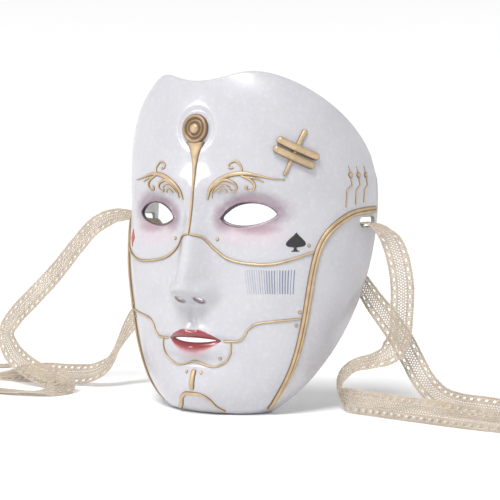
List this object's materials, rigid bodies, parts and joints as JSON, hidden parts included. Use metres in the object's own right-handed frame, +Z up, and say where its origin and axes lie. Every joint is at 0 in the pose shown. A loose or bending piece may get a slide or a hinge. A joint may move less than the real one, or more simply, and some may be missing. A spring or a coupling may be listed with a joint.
{
  "type": "venetian masquerade mask",
  "caption": "Full-face masquerade mask: pearl-white moulded shell with raised gilt ornament, card-suit marks, foam pads and lace ribbon ties.",
  "frame": {"origin": "centre of the chin foot's plane, under the middle of the mask's box without its ribbons", "axes": "+Z up to the forehead, the face looks along -Y, +X to the wearer's left"},
  "size_m": [0.5801, 0.1939, 0.24],
  "materials": {
    "pearl_shell": "pearl gloss",
    "gilt": "antique gold, satin",
    "suit_black": "satin black",
    "suit_red": "satin red",
    "pad_foam": "open-cell foam",
    "lace": "crocheted cotton"
  },
  "bodies": {
    "root": {"mask_shell": "pearl_shell", "medallion": "gilt", "medallion_dome": "gilt", "drip_stem": "gilt", "brow_scroll_left": "gilt", "brow_scroll_right": "gilt", "side_band_left": "gilt", "side_band_right": "gilt", "cheek_seam_left": "gilt", "cheek_seam_right": "gilt", "jaw_seam_left": "gilt", "jaw_seam_right": "gilt", "chin_tick_left": "gilt", "chin_tick_right": "gilt", "lip_seam": "gilt", "chin_bar": "gilt", "chin_arch": "gilt", "clip_bar_upper": "gilt", "clip_bar_lower": "gilt", "clip_pin": "gilt", "trace_1": "gilt", "trace_2": "gilt", "trace_3": "gilt", "trace_stud_1": "gilt", "trace_stud_2": "gilt", "trace_stud_3": "gilt", "rivet_1": "gilt", "rivet_2": "gilt", "rivet_3": "gilt", "rivet_4": "gilt", "rivet_5": "gilt", "rivet_6": "gilt", "rivet_7": "gilt", "rivet_8": "gilt", "spade": "suit_black", "diamond": "suit_red", "brow_pad": "pad_foam", "cheek_pad_left": "pad_foam", "cheek_pad_right": "pad_foam", "ribbon_left_front": "lace", "ribbon_left_back": "lace", "ribbon_right_front": "lace", "ribbon_right_back": "lace"}
  },
  "joints": []
}
